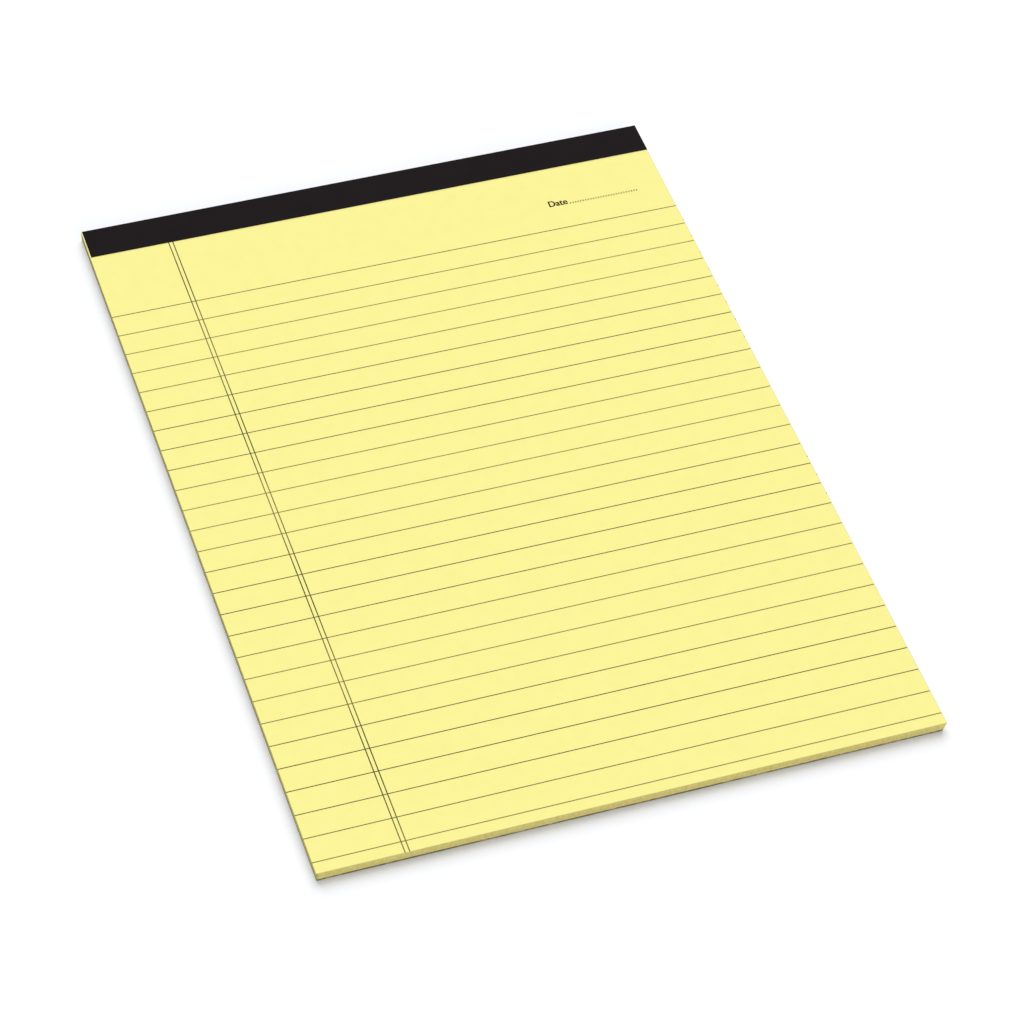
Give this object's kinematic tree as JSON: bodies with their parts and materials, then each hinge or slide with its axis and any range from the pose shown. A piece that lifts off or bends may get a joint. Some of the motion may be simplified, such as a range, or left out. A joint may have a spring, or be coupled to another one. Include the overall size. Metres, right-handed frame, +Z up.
{
  "type": "legal pad",
  "caption": "Head-bound writing pad: perforated yellow sheets with rules and a left margin, wire-stitched to a chipboard back under a black tape folded round the head.",
  "frame": {"origin": "on the surface that the pad lies on, under the middle of its outline", "axes": "+X to the reader's right, +Y towards the taped head, +Z up out of the top sheet"},
  "size_m": [0.21, 0.2972, 0.004],
  "materials": {
    "yellow_paper": "matte",
    "chipboard": "matte",
    "stitching_wire": "satin",
    "black_tape": "matte",
    "ruling_ink": "matte"
  },
  "bodies": {
    "root": {"ruled_sheets": "yellow_paper", "backing_board": "chipboard", "wire_stitches": "stitching_wire", "binding_tape": "black_tape", "printed_ruling": "ruling_ink"}
  },
  "joints": []
}
